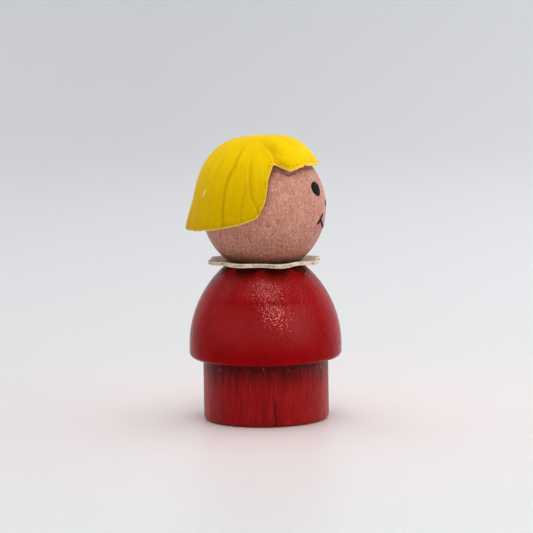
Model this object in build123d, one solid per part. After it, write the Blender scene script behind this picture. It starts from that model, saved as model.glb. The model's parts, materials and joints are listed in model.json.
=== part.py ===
"""Wooden peg figure: a turned body with a plug foot, a turned head that swivels on a nail, a loose
scalloped collar between them, and a moulded hair cap pressed into the head.

Millimetres. The origin is the centre of the foot's underside, +Z is up, and the face looks along -Y.
"""

import math
import os

from build123d import *

# Plug foot: the 7/8 inch cylinder that drops into a round seat
PLUG_RADIUS = 11.1
PLUG_HEIGHT = 11.0
PLUG_EDGE_ROUND = 0.8

# Domed skirt of the body
SKIRT_RADIUS = 13.5
SKIRT_WIDEST_Z = 13.2
SKIRT_EDGE_ROUND = 1.05
DOME_ARC_RADIUS = 18.65
BODY_TOP_Z = 27.6
BODY_TOP_ROUND = 0.4

# Collar: a thin disc with rounded lobes, free to turn on the nail
COLLAR_THICKNESS = 0.5
COLLAR_LOBES = 8
COLLAR_TIP_RADIUS = 10.2
COLLAR_NOTCH_RADIUS = 8.9
COLLAR_NOTCH_ROUND = 0.35
COLLAR_HOLE_RADIUS = 1.45
COLLAR_EDGE_ROUND = 0.12
COLLAR_TURN = 22.5

# Head: a slightly tall ball with a flat underside
HEAD_RADIUS = 11.0
HEAD_HALF_HEIGHT = 11.55
HEAD_CENTRE_Z = 37.55
HEAD_FLAT_ROUND = 0.3

# Running gap on each side of the collar and under the nail's head
PLAY = 0.05

# Neck nail: 1 inch long under its head
NAIL_RADIUS = 1.2
NAIL_LENGTH = 25.4
NAIL_TIP_LENGTH = 2.4
NAIL_HEAD_RADIUS = 2.2
NAIL_HEAD_THICKNESS = 0.9
NAIL_HEAD_CHAMFER = 0.2
NAIL_SEAT_Z = 36.0

# Stem of the hair cap, and the bore in the head that takes it
STEM_RADIUS = 2.5
STEM_LENGTH = 10.4
STEM_CHAMFER = 0.5

# Hair cap: its outer surface, as (height above the head's centre, reach back, to each side, forward)
HAIR_SECTIONS = [
    (-4.2, 13.80, 12.40, 12.0),
    (-1.4, 13.15, 12.25, 12.0),
    (1.4, 12.50, 12.20, 11.9),
    (4.6, 11.90, 11.80, 11.3),
    (7.4, 10.85, 10.75, 10.0),
    (8.9, 9.85, 9.80, 9.2),
    (10.25, 8.55, 8.50, 8.2),
    (11.3, 7.20, 7.15, 6.95),
    (11.95, 6.00, 5.95, 5.8),
    (12.4, 4.45, 4.40, 4.35),
    (12.6, 2.00, 2.00, 2.0),
]
HAIR_WALL = 0.9

# Edge of the hair in side view, as (distance back from the head's axis, height above its centre)
FRINGE_EDGE = [(-9.9, 7.6), (-8.35, 7.9), (-5.85, 7.2), (-2.65, 8.5)]
SIDE_EDGE = [(-2.65, 8.5), (-1.95, 6.2), (-1.4, 2.4), (0.0, -0.65)]
HEM_EDGE = [(0.0, -0.65), (3.2, -1.85), (8.4, -3.0), (14.1, -3.7)]
CUT_REACH = 20.0

COLLAR_BOTTOM_Z = BODY_TOP_Z + PLAY
COLLAR_TOP_Z = COLLAR_BOTTOM_Z + COLLAR_THICKNESS
HEAD_FLAT_Z = COLLAR_TOP_Z + PLAY


def turned(outline):
    """The solid that a closed outline in the XZ plane sweeps about the Z axis."""
    return revolve(Plane.XZ * make_face(outline), Axis.Z)


def rings(solid, radius, z):
    """The circular edges of a turned solid with that radius at that height."""
    return [
        edge
        for edge in solid.edges().filter_by(GeomType.CIRCLE)
        if abs(edge.radius - radius) < 0.01 and abs(edge.arc_center.Z - z) < 0.01
    ]


def cylinder(radius, bottom_z, top_z):
    """An upright cylinder on the Z axis between two heights."""
    shape = Cylinder(radius, top_z - bottom_z, align=(Align.CENTER, Align.CENTER, Align.MIN))
    return Pos(0, 0, bottom_z) * shape


def neck_nail():
    """Round steel nail with a flat head, its underside just clear of the seat in the head's bore."""
    head_bottom = NAIL_SEAT_Z + PLAY
    head_top = head_bottom + NAIL_HEAD_THICKNESS
    tip = head_bottom - NAIL_LENGTH
    outline = Polyline(
        (0, tip),
        (NAIL_RADIUS, tip + NAIL_TIP_LENGTH),
        (NAIL_RADIUS, head_bottom),
        (NAIL_HEAD_RADIUS, head_bottom),
        (NAIL_HEAD_RADIUS, head_top - NAIL_HEAD_CHAMFER),
        (NAIL_HEAD_RADIUS - NAIL_HEAD_CHAMFER, head_top),
        (0, head_top),
        close=True,
    )
    return turned(outline)


def wooden_body(nail):
    """Dome, skirt and plug foot, turned in one piece, with the nail's own hole."""
    arc_centre_x = SKIRT_RADIUS - DOME_ARC_RADIUS
    rise = BODY_TOP_Z - SKIRT_WIDEST_Z
    top_radius = arc_centre_x + math.sqrt(DOME_ARC_RADIUS**2 - rise**2)
    sweep = math.degrees(math.asin(rise / DOME_ARC_RADIUS))
    foot = Polyline(
        (0, BODY_TOP_Z),
        (0, 0),
        (PLUG_RADIUS, 0),
        (PLUG_RADIUS, PLUG_HEIGHT),
        (SKIRT_RADIUS, PLUG_HEIGHT),
        (SKIRT_RADIUS, SKIRT_WIDEST_Z),
    )
    dome = CenterArc((arc_centre_x, SKIRT_WIDEST_Z), DOME_ARC_RADIUS, 0, sweep)
    top = Line((top_radius, BODY_TOP_Z), (0, BODY_TOP_Z))
    body = turned(foot.edges() + dome.edges() + top.edges())
    body = fillet(rings(body, PLUG_RADIUS, 0), PLUG_EDGE_ROUND)
    body = fillet(rings(body, SKIRT_RADIUS, PLUG_HEIGHT), SKIRT_EDGE_ROUND)
    body = fillet(rings(body, top_radius, BODY_TOP_Z), BODY_TOP_ROUND)
    return body - nail


def scalloped_collar():
    """Thin disc whose rim is a ring of equal arcs, with a loose hole for the nail."""
    half_lobe = math.pi / COLLAR_LOBES
    rim = []
    for lobe in range(COLLAR_LOBES):
        middle = math.radians(COLLAR_TURN) + 2 * half_lobe * lobe
        start, end = middle - half_lobe, middle + half_lobe
        rim.append(
            ThreePointArc(
                (COLLAR_NOTCH_RADIUS * math.cos(start), COLLAR_NOTCH_RADIUS * math.sin(start)),
                (COLLAR_TIP_RADIUS * math.cos(middle), COLLAR_TIP_RADIUS * math.sin(middle)),
                (COLLAR_NOTCH_RADIUS * math.cos(end), COLLAR_NOTCH_RADIUS * math.sin(end)),
            )
        )
    face = make_face([arc.edge() for arc in rim])
    face = fillet(face.vertices(), COLLAR_NOTCH_ROUND)
    disc = Pos(0, 0, COLLAR_BOTTOM_Z) * extrude(face, COLLAR_THICKNESS)
    rim_edges = disc.edges().filter_by(Plane.XY).group_by(Axis.Z)
    disc = fillet(rim_edges[0] + rim_edges[-1], COLLAR_EDGE_ROUND)
    return disc - cylinder(COLLAR_HOLE_RADIUS, COLLAR_BOTTOM_Z - 1, COLLAR_TOP_Z + 1)


def wooden_head():
    """Ball with a flat underside, a bore for the hair's stem and a clearance hole for the nail."""
    drop = HEAD_CENTRE_Z - HEAD_FLAT_Z
    start = -math.asin(drop / HEAD_HALF_HEIGHT)
    flat_radius = HEAD_RADIUS * math.cos(start)
    top_z = HEAD_CENTRE_Z + HEAD_HALF_HEIGHT
    side = EllipticalCenterArc(
        (0, HEAD_CENTRE_Z),
        HEAD_RADIUS,
        HEAD_HALF_HEIGHT,
        start_angle=math.degrees(start),
        arc_size=90 - math.degrees(start),
    )
    closing = Polyline((0, top_z), (0, HEAD_FLAT_Z), (flat_radius, HEAD_FLAT_Z))
    head = turned(side.edges() + closing.edges())
    head = fillet(rings(head, flat_radius, HEAD_FLAT_Z), HEAD_FLAT_ROUND)
    head -= cylinder(STEM_RADIUS, NAIL_SEAT_Z, top_z + 1)
    return head - cylinder(NAIL_RADIUS + PLAY, HEAD_FLAT_Z - 1, NAIL_SEAT_Z + 1)


def hair_section(height, back, side, forward):
    """One level section of the hair: half an ellipse behind the axis and half in front."""
    rear = EllipticalCenterArc((0, 0), side, back, start_angle=0, arc_size=180)
    front = EllipticalCenterArc((0, 0), side, forward, start_angle=180, arc_size=180)
    return Pos(0, 0, HEAD_CENTRE_Z + height) * make_face(rear.edges() + front.edges())


def inset(sections, wall):
    """The sections moved in by the wall thickness, square to the slope of the back's profile."""
    moved = []
    for i, (height, *reaches) in enumerate(sections):
        below, above = sections[max(i - 1, 0)], sections[min(i + 1, len(sections) - 1)]
        rise, run = above[0] - below[0], below[1] - above[1]
        slope = math.hypot(rise, run)
        moved.append((height - wall * run / slope, *[r - wall * rise / slope for r in reaches]))
    return moved


def side_cutter():
    """Everything in front of and below the hair's edge, as seen from the side."""
    fringe = Polyline((-CUT_REACH, FRINGE_EDGE[0][1]), FRINGE_EDGE[0])
    wave = Spline(*FRINGE_EDGE[:3])
    peak = Line(FRINGE_EDGE[2], FRINGE_EDGE[3])
    lock = Spline(*SIDE_EDGE)
    hem = Spline(*HEM_EDGE)
    outside = Polyline(
        HEM_EDGE[-1],
        (CUT_REACH, HEM_EDGE[-1][1]),
        (CUT_REACH, -CUT_REACH),
        (-CUT_REACH, -CUT_REACH),
        (-CUT_REACH, FRINGE_EDGE[0][1]),
    )
    edges = [e for line in (fringe, wave, peak, lock, hem, outside) for e in line.edges()]
    face = Pos(0, 0, HEAD_CENTRE_Z) * (Plane.YZ * make_face(edges))
    return extrude(face, CUT_REACH, both=True)


def hair_cap():
    """Thin-walled bob with a fringe, open at the face and the neck, and its stem on the axis."""
    outer = loft([hair_section(*s) for s in HAIR_SECTIONS])
    inner_sections = inset(HAIR_SECTIONS, HAIR_WALL)
    lowest = inner_sections[0]
    inner_sections.insert(0, (lowest[0] - 2, lowest[1] + 0.4, *lowest[2:]))
    inner = loft([hair_section(*s) for s in inner_sections])
    shell = outer - inner - side_cutter()
    stem_top = HEAD_CENTRE_Z + HAIR_SECTIONS[-1][0] - HAIR_WALL / 2
    stem_bottom = stem_top - STEM_LENGTH
    stem = cylinder(STEM_RADIUS, stem_bottom, stem_top)
    stem = chamfer(rings(stem, STEM_RADIUS, stem_bottom), STEM_CHAMFER)
    return shell + stem


def main():
    os.makedirs("parts", exist_ok=True)
    nail = neck_nail()
    parts = {
        "wooden_body": wooden_body(nail),
        "neck_nail": nail,
        "scalloped_collar": scalloped_collar(),
        "wooden_head": wooden_head(),
        "hair_cap": hair_cap(),
    }
    for name, shape in parts.items():
        export_step(shape, f"parts/{name}.step")


main()
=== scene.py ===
import json
import math

import bpy
import numpy as np
from mathutils import Matrix, Vector


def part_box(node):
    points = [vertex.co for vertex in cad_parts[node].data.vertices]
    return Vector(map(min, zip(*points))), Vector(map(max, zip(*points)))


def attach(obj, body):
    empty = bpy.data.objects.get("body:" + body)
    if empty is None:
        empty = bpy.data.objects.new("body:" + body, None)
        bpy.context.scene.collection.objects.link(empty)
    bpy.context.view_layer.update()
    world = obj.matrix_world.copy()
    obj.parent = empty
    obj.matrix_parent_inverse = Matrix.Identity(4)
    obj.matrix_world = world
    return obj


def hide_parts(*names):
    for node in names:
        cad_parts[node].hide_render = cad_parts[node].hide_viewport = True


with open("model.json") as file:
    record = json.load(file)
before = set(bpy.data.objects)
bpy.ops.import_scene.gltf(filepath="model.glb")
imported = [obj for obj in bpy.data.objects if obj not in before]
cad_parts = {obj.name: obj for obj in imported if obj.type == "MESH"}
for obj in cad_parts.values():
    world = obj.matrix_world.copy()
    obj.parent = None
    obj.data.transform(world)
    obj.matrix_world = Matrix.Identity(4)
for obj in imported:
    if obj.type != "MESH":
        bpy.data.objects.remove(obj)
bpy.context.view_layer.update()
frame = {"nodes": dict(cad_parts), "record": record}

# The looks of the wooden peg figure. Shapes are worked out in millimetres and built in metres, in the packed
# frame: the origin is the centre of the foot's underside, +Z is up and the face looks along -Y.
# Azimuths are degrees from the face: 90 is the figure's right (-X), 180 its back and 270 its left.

MM = 0.001

# ------ sizes, in millimetres

MOUNTS = {mount["name"]: mount for mount in frame["record"]["mounts"]}


def box_mm(node):
    """Lowest and highest corner of a CAD node, in millimetres."""
    return np.array(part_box(node)) / MM


SKIRT_RADIUS = box_mm("wooden_body")[1][0]
BODY_TOP_Z = box_mm("wooden_body")[1][2]
PLUG_RADIUS = MOUNTS["plug_foot"]["dims"]["r_mm"]
STEP_Z = MOUNTS["skirt_shoulder"]["pos_m"][2] / MM
PLUG_ROUND = 0.8
SKIRT_ROUND = 1.05
WIDEST_Z = 13.2
DOME_ARC_RADIUS = 18.65
TOP_ROUND = 0.4
NAIL_RADIUS = 1.2
NAIL_TIP_Z = box_mm("neck_nail")[0][2]
NAIL_TIP_LENGTH = 2.4

HEAD_RADIUS = box_mm("wooden_head")[1][0]
HEAD_HALF_HEIGHT = 11.55
HEAD_CENTRE_Z = 37.55
HEAD_FLAT_Z = box_mm("wooden_head")[0][2]
HEAD_FLAT_ROUND = 0.3
NAIL_CLEARANCE_RADIUS = 1.25
NAIL_SEAT_Z = 36.0
STEM_RADIUS = 2.5

COLLAR_LOW_Z = box_mm("scalloped_collar")[0][2]
COLLAR_HIGH_Z = box_mm("scalloped_collar")[1][2]
COLLAR_LOBES = 8
COLLAR_TIP_RADIUS = 10.2
COLLAR_NOTCH_RADIUS = 8.9
COLLAR_HOLE_RADIUS = 1.45
COLLAR_TURN = 22.5
COLLAR_EDGE_ROUND = 0.14

HAIR_TOP_Z = box_mm("hair_cap")[1][2]
STEM_LENGTH = 10.4
STEM_CHAMFER = 0.5

# ------ numbers, noise and meshes


def smoothstep(value, low, high):
    """0 below low, 1 above high, and a smooth S between."""
    t = np.clip((value - low) / (high - low), 0, 1)
    return t * t * (3 - 2 * t)


def cell_noise(points, cell, seed):
    """Smooth noise from -1 to 1 at points (n, 3), with cells of that size (a number or one per axis)."""
    q = np.asarray(points) / np.asarray(cell, float)
    base = np.floor(q).astype(np.int64)
    share = q - base
    share = share * share * (3 - 2 * share)
    total = np.zeros(len(q))
    for corner in range(8):
        step = np.array([corner & 1, corner >> 1 & 1, corner >> 2 & 1])
        key = (base + step) @ np.array([73856093, 19349663, 83492791]) + seed * 1013904223
        key = (key ^ (key >> 13)) * 1274126177 & 0xFFFFFFFF
        key = (key ^ (key >> 15)) * 2246822519 & 0xFFFFFFFF
        value = (key ^ (key >> 16)) / 0x7FFFFFFF - 1
        total += np.prod(np.where(step, share, 1 - share), axis=1) * value
    return total


def fractal_noise(points, cell, seed, octaves=3):
    """Cell noise summed over octaves, each half the size and half the height of the last."""
    cell = np.asarray(cell, float)
    parts = [cell_noise(points, cell / 2**i, seed + i) / 2**i for i in range(octaves)]
    return sum(parts) / sum(1 / 2**i for i in range(octaves))


def noise_along(values, cell, seed):
    """Cell noise along a line."""
    return cell_noise(np.stack([values] * 3, axis=1), cell, seed)


def bell(distance, width):
    """1 at distance 0, and nearly 0 beyond twice the width."""
    return np.exp(-((distance / width) ** 2))


def unit(vectors):
    """Vectors in rows, at length 1."""
    return vectors / np.linalg.norm(vectors, axis=1, keepdims=True)


def all_round(count):
    """Even azimuths, from 0 to just under 360."""
    return np.linspace(0, 360, count, endpoint=False)


def ring_point(azimuth, radius, z):
    """Points at azimuths (degrees from the face, towards the figure's right), radii and heights."""
    a = np.radians(azimuth)
    return np.stack(np.broadcast_arrays(-np.sin(a) * radius, -np.cos(a) * radius, z), axis=-1)


def azimuth_of(points):
    """Azimuth of each point, from 0 to 360."""
    return np.degrees(np.arctan2(-points[..., 0], -points[..., 1])) % 360


def axis_distance(points):
    """Distance of each point from the turning axis."""
    return np.hypot(points[:, 0], points[:, 1])


def turn_between(azimuth, other):
    """Signed angle from other to azimuth, from -180 to 180."""
    return (azimuth - other + 180) % 360 - 180


def make_piece(name, points, faces, body, material, attributes=None, replaces=()):
    """A smooth mesh piece from points in millimetres, riding on a body.

    An attribute gives the points its values from the first point on, and 0 to those left over.
    """
    mesh = bpy.data.meshes.new(name)
    mesh.from_pydata((np.asarray(points) * MM).tolist(), [], faces)
    mesh.polygons.foreach_set("use_smooth", [True] * len(mesh.polygons))
    for key, values in (attributes or {}).items():
        full = np.zeros((len(points), *values.shape[1:]), np.float32)
        full[: len(values)] = values
        kind, field = ("FLOAT_VECTOR", "vector") if full.ndim == 2 else ("FLOAT", "value")
        mesh.attributes.new(key, kind, "POINT").data.foreach_set(field, full.ravel())
    mesh.validate()
    mesh.update()
    piece = bpy.data.objects.new(name, mesh)
    bpy.context.scene.collection.objects.link(piece)
    mesh.materials.append(material)
    if body:
        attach(piece, body)
        if replaces:
            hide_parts(*replaces)
    return piece


def grid_faces(rows, columns, wrap_rows=False):
    """Quads of a grid whose columns close on themselves, and whose rows may."""
    r = np.arange(rows if wrap_rows else rows - 1)[:, None]
    c = np.arange(columns)[None, :]
    nxt, right = (r + 1) % rows, (c + 1) % columns
    corners = (r * columns + c, r * columns + right, nxt * columns + right, nxt * columns + c)
    return np.stack(np.broadcast_arrays(*corners), axis=-1).reshape(-1, 4).tolist()


def closed_grid(grid, first_pole, last_pole):
    """Points and faces of a grid (rows, columns, 3) closed at both ends by a pole each."""
    rows, columns = grid.shape[:2]
    points = np.concatenate([grid.reshape(-1, 3), [first_pole, last_pole]])
    faces = grid_faces(rows, columns)
    first, last = rows * columns, rows * columns + 1
    top = (rows - 1) * columns
    for c in range(columns):
        right = (c + 1) % columns
        faces.append([first, right, c])
        faces.append([last, top + c, top + right])
    return points, faces


def line(start, end, step):
    """Points along a line, both ends included."""
    count = max(2, math.ceil(math.dist(start, end) / step) + 1)
    return [tuple(p) for p in np.linspace(start, end, count)]


def legs(start, *ends):
    """Points along straight legs, each given by its end and its step."""
    points = [start]
    for end, step in ends:
        points += line(points[-1], end, step)[1:]
    return points


def arc(centre, radius, start, end, step):
    """Points along an arc from one angle to another, in degrees, both ends included."""
    length = radius * abs(math.radians(end - start))
    angles = np.radians(np.linspace(start, end, max(3, math.ceil(length / step) + 1)))
    return [(centre[0] + radius * math.cos(a), centre[1] + radius * math.sin(a)) for a in angles]


def join(*runs):
    """One outline from several, without the points that repeat."""
    points = [runs[0][0]]
    for run in runs:
        points += [p for p in run if math.dist(p, points[-1]) > 1e-6]
    return np.array(points)


def lathe(outline, columns, relief):
    """Grid (rows, columns, 3) of an outline turned about Z and pushed outwards by relief(points)."""
    along = unit(np.gradient(outline, axis=0))
    azimuths = all_round(columns)
    plain = ring_point(azimuths, outline[:, :1], outline[:, 1:])
    push = relief(plain.reshape(-1, 3)).reshape(plain.shape[:2])
    radius = outline[:, :1] + along[:, 1:] * push
    return ring_point(azimuths, np.maximum(radius, 0.01), outline[:, 1:] - along[:, :1] * push)


# ------ materials

UPRIGHT = (1, 1, 0.05)  # scale of the coordinates that draws noise out into upright grain


def srgb(red, green, blue):
    """Linear colour of an 8-bit sRGB one."""
    values = [v / 255 for v in (red, green, blue)]
    return tuple(v / 12.92 if v <= 0.04045 else ((v + 0.055) / 1.055) ** 2.4 for v in values) + (1.0,)


class Surface:
    """A material and its base colour so far. Most methods add nodes and return their result's socket."""

    def __init__(self, name, *colour):
        self.material = bpy.data.materials.new(name)
        self.material.use_nodes = True
        self.tree = self.material.node_tree
        self.tree.nodes.clear()
        place = self.add("ShaderNodeTexCoord").outputs["Object"]
        self.mm = self.vector("MULTIPLY", place, (1 / MM,) * 3)
        self.base = srgb(*colour)

    def add(self, kind, inputs=None, **settings):
        """A node of a kind, with sockets linked to its inputs or values put in them."""
        node = self.tree.nodes.new(kind)
        for key, value in settings.items():
            setattr(node, key, value)
        for key, value in (inputs or {}).items():
            if isinstance(value, bpy.types.NodeSocket):
                self.tree.links.new(value, node.inputs[key])
            else:
                node.inputs[key].default_value = value
        return node

    def vector(self, operation, a, b):
        """A vector operation on a and b."""
        return self.add("ShaderNodeVectorMath", {0: a, 1: b}, operation=operation).outputs[0]

    def math(self, operation, a, b=0.0):
        """A number operation on a and b."""
        return self.add("ShaderNodeMath", {0: a, 1: b}, operation=operation).outputs[0]

    def times(self, a, b):
        """a times b."""
        return self.math("MULTIPLY", a, b)

    def stretched(self, scale):
        """Millimetre coordinates times a scale per axis."""
        return self.vector("MULTIPLY", self.mm, scale)

    def noise(self, cell, detail=2.0, rough=0.5, at=None, shift=0.0):
        """Noise from 0 to 1 with features of about that many millimetres."""
        where = at or self.mm
        if shift:
            where = self.vector("ADD", where, (shift,) * 3)
        inputs = {"Vector": where, "Scale": 1 / cell, "Detail": detail, "Roughness": rough}
        return self.add("ShaderNodeTexNoise", inputs).outputs["Fac"]

    def span(self, value, low, high, start=0.0, end=1.0):
        """value taken from low..high to start..end, held at the ends."""
        inputs = {"Value": value, "From Min": low, "From Max": high, "To Min": start, "To Max": end}
        return self.add("ShaderNodeMapRange", inputs, clamp=True).outputs["Result"]

    def mix(self, share, a, b):
        """Colours a and b mixed by share."""
        return self.add("ShaderNodeMix", {0: share, 6: a, 7: b}, data_type="RGBA").outputs[2]

    def coat(self, share, *colour):
        """Covers the base colour with another by share."""
        self.base = self.mix(share, self.base, srgb(*colour))

    def height(self):
        """Height above the floor, in millimetres."""
        return self.add("ShaderNodeSeparateXYZ", {0: self.mm}).outputs["Z"]

    def painted(self, name, output="Fac"):
        """Value of an attribute of the mesh at this point."""
        return self.add("ShaderNodeAttribute", attribute_name=name).outputs[output]

    def bump(self, height, depth, normal=None):
        """Normal of a height from 0 to 1 that stands for depth millimetres."""
        inputs = {"Height": height, "Distance": depth * MM, "Strength": 1.0}
        if normal:
            inputs["Normal"] = normal
        return self.add("ShaderNodeBump", inputs).outputs["Normal"]

    def finish(self, **inputs):
        """Closes the tree with a Principled shader and returns the material."""
        names = {"ior": "IOR", "specular": "Specular IOR Level"}
        named = {names.get(key, key.replace("_", " ").title()): value for key, value in inputs.items()}
        shader = self.add("ShaderNodeBsdfPrincipled", {"Base Color": self.base, **named})
        self.add("ShaderNodeOutputMaterial", {"Surface": shader.outputs[0]})
        return self.material


def red_lacquer():
    """Red lacquer over upright grain: glossy and crackled on the dome, streaked and worn on the foot."""
    s = Surface("red_lacquered_wood", 146, 4, 8)
    height = s.height()
    foot = s.span(height, STEP_Z + 0.4, STEP_Z - 0.4)
    streaks = s.noise(0.34, 4, 0.6, s.stretched(UPRIGHT))
    fine_streaks = s.noise(0.16, 3, 0.6, s.stretched(UPRIGHT), 7.0)
    s.coat(s.span(s.noise(4.5, 3, 0.55, shift=3.0), 0.3, 0.7), 164, 7, 12)
    s.coat(s.span(s.noise(1.4, 4, 0.6, shift=11.0), 0.4, 0.7, 0, 0.3), 140, 3, 8)
    s.coat(s.times(foot, 0.6), 183, 30, 30)
    # painted shade: the dome darker lower down, where it faces down
    s.coat(s.span(height, 20.0, 13.0, 0, 0.45), 132, 3, 7)
    streaky = s.math("MAXIMUM", s.times(foot, 0.9), s.times(s.span(height, 18.0, 11.5), 0.3))
    s.coat(s.times(s.times(s.span(streaks, 0.5, 0.34), streaky), 0.6), 76, 8, 12)
    s.coat(s.times(s.times(s.span(fine_streaks, 0.52, 0.7), streaky), 0.5), 202, 52, 48)
    bands = s.noise(1.5, 3, 0.6, s.stretched((1, 1, 0.16)), 19.0)
    s.coat(s.times(s.span(bands, 0.5, 0.64, 0, 0.4), foot), 96, 6, 10)
    runs = s.times(s.span(streaks, 0.56, 0.44), s.span(height, STEP_Z - 5.5, STEP_Z - 0.8))
    s.coat(s.times(runs, s.times(foot, 0.75)), 54, 6, 10)
    # grime and painted shade: dirt, cracks and chips, with painted shadow under the step and under the collar
    grime_and_shade = s.painted("grime_and_shade")
    s.coat(grime_and_shade, 46, 6, 8)
    s.coat(s.painted("worn"), 188, 84, 76)
    peel = s.times(s.noise(0.36, 0, 0.5), s.math("SUBTRACT", 1.0, s.times(foot, 0.6)))
    normal = s.bump(s.noise(1.1, 2, 0.5, shift=5.0), 0.03, s.bump(peel, 0.092))
    grain = s.times(s.noise(0.2, 4, 0.65, s.stretched(UPRIGHT), 2.0), streaky)
    roughness = s.span(s.noise(1.1, 4, 0.6, shift=17.0), 0.3, 0.7, 0.12, 0.20)
    polish = s.times(s.painted("polish"), s.math("SUBTRACT", 1.0, grime_and_shade))
    return s.finish(
        roughness=s.math("ADD", roughness, s.times(foot, 0.2)),
        normal=s.bump(grain, 0.05, normal),
        ior=1.45,
        specular=s.math("ADD", s.span(polish, 0, 1, 0.06, 0.62), s.times(foot, 0.12)),
        specular_tint=(1.0, 0.44, 0.42, 1.0),
    )


def flesh_paint():
    """Thin flesh-coloured paint over upright grain, speckled, rubbed and darker towards the collar, with
    painted shadow along the hair's edge and where the head meets the collar.
    """
    s = Surface("flesh_painted_wood", 197, 133, 111)
    height = s.height()
    grain = s.noise(0.25, 2, 0.55, s.stretched(UPRIGHT))
    speckle = s.noise(0.45, 4, 0.75, shift=4.0)
    fine = s.noise(0.24, 2, 0.6, s.stretched((1, 1, 0.75)), 9.0)
    s.coat(s.span(s.noise(3.6, 3, 0.5, shift=21.0), 0.35, 0.65), 214, 152, 129)
    s.coat(s.span(speckle, 0.5, 0.62, 0, 0.5), 172, 102, 86)
    s.coat(s.span(speckle, 0.47, 0.38, 0, 0.42), 240, 188, 168)
    s.coat(s.span(fine, 0.57, 0.68, 0, 0.45), 248, 204, 184)
    s.coat(s.span(grain, 0.48, 0.36, 0, 0.5), 166, 98, 80)
    # darker towards the collar
    darker_towards_collar = s.times(s.span(height, 38.0, HEAD_FLAT_Z, 0, 0.64), s.span(speckle, 0.25, 0.6, 0.4, 1))
    s.coat(darker_towards_collar, 140, 82, 68)
    streaks = s.span(s.noise(0.22, 3, 0.6, s.stretched((1, 1, 0.22)), 30.0), 0.5, 0.59)
    s.coat(s.times(streaks, s.span(height, 36.0, HEAD_FLAT_Z, 0, 0.75)), 92, 46, 38)
    # painted shadow where the head meets the collar
    s.coat(s.span(height, HEAD_FLAT_Z + 1.5, HEAD_FLAT_Z + 0.2, 0, 0.7), 74, 40, 32)
    s.coat(s.painted("pit"), 88, 42, 34)
    s.coat(s.painted("scratch"), 126, 70, 44)
    # painted shadow along the hair's edge
    s.coat(s.times(s.painted("hair_edge_shade"), s.span(speckle, 0.35, 0.6, 0.45, 0.85)), 112, 62, 36)
    normal = s.bump(fine, 0.03, s.bump(speckle, 0.03, s.bump(grain, 0.035)))
    return s.finish(roughness=s.span(speckle, 0.3, 0.7, 0.42, 0.56), normal=normal, specular=0.22)


def cream_vinyl():
    """Old cream sheet, yellowed, with brown stains along its grain, dirt and painted shade under the head,
    and a paler cut edge that is partly painted light.
    """
    s = Surface("cream_vinyl", 250, 234, 208)
    stain = s.noise(1.3, 5, 0.65)
    streak = s.noise(0.4, 4, 0.6, s.stretched((1, 0.35, 2.5)), 3.0)
    s.coat(s.span(stain, 0.4, 0.62), 224, 207, 178)
    s.coat(s.span(streak, 0.49, 0.6, 0, 0.6), 152, 130, 104)
    # dirt and painted shade under the head
    s.coat(s.times(s.painted("dirt_and_shade_under_head"), 0.8), 84, 60, 44)
    # paler cut edge: partly the sheet's own colour, partly painted light
    s.coat(s.times(s.painted("cut"), s.span(streak, 0.6, 0.46, 0.15, 0.75)), 248, 232, 204)
    s.coat(s.times(s.painted("ply"), s.span(stain, 0.42, 0.6, 0.1, 0.75)), 140, 112, 84)
    normal = s.bump(streak, 0.03, s.bump(s.noise(0.3, 4, 0.6), 0.02))
    return s.finish(roughness=0.55, normal=normal, specular=0.25)


def yellow_vinyl():
    """Soft yellow moulding: satin, with dirt and painted shade in the grooves and along the parting, painted
    shade lower down, and a paler trimmed edge that is partly painted highlight.
    """
    s = Surface("yellow_vinyl", 245, 200, 1)
    s.coat(s.span(s.noise(3.0, 3, 0.5), 0.3, 0.7), 254, 212, 2)
    # painted shade: the hair darker lower down
    s.coat(s.span(s.height(), 47.0, 35.0, 0, 0.85), 212, 168, 2)
    # dirt and painted shade in the grooves and along the parting
    s.coat(s.times(s.painted("crease_dirt_and_shade"), 0.6), 180, 128, 3)
    strands = s.noise(0.6, 3, 0.55, s.painted("flow", "Vector"))
    s.coat(s.span(strands, 0.5, 0.7, 0, 0.3), 224, 172, 4)
    dust = s.noise(0.5, 4, 0.75, shift=33.0)
    s.coat(s.span(dust, 0.52, 0.68, 0, 0.14), 200, 146, 8)
    s.coat(s.span(dust, 0.48, 0.34, 0, 0.3), 255, 224, 20)
    patchy = s.span(s.noise(0.8, 5, 0.75, shift=27.0), 0.46, 0.6)
    s.coat(s.times(s.times(s.painted("shade"), patchy), 0.34), 150, 98, 10)
    # paler trimmed edge: partly its own colour, partly painted highlight
    s.coat(s.times(s.painted("rim"), s.span(patchy, 0, 1, 1.0, 0.6)), 250, 216, 126)
    s.coat(s.painted("nicked"), 250, 236, 170)
    normal = s.bump(s.noise(0.35, 3, 0.5, shift=8.0), 0.016, s.bump(strands, 0.045))
    roughness = s.span(s.noise(0.9, 3, 0.5, shift=13.0), 0.3, 0.7, 0.42, 0.54)
    return s.finish(roughness=roughness, normal=normal, specular=0.02)


def black_ink():
    """Printed ink: black, faintly glossy, thin enough in places for the paint to show."""
    s = Surface("black_ink", 6, 5, 5)
    s.coat(s.span(s.noise(0.3, 4, 0.6), 0.55, 0.75, 0, 0.35), 52, 34, 28)
    return s.finish(roughness=0.5, normal=s.bump(s.noise(0.25, 3, 0.6, shift=2.0), 0.012), specular=0.05)


def bright_steel():
    """Drawn wire: fine lines along the shank and a faint haze."""
    s = Surface("bright_steel", 176, 178, 182)
    lines = s.noise(0.12, 3, 0.5, s.stretched((1, 1, 0.04)))
    s.coat(lines, 206, 207, 210)
    roughness = s.span(s.noise(0.8, 3, 0.5), 0.3, 0.7, 0.24, 0.4)
    return s.finish(metallic=1.0, roughness=roughness, normal=s.bump(lines, 0.01))


# ------ the turned body

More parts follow.
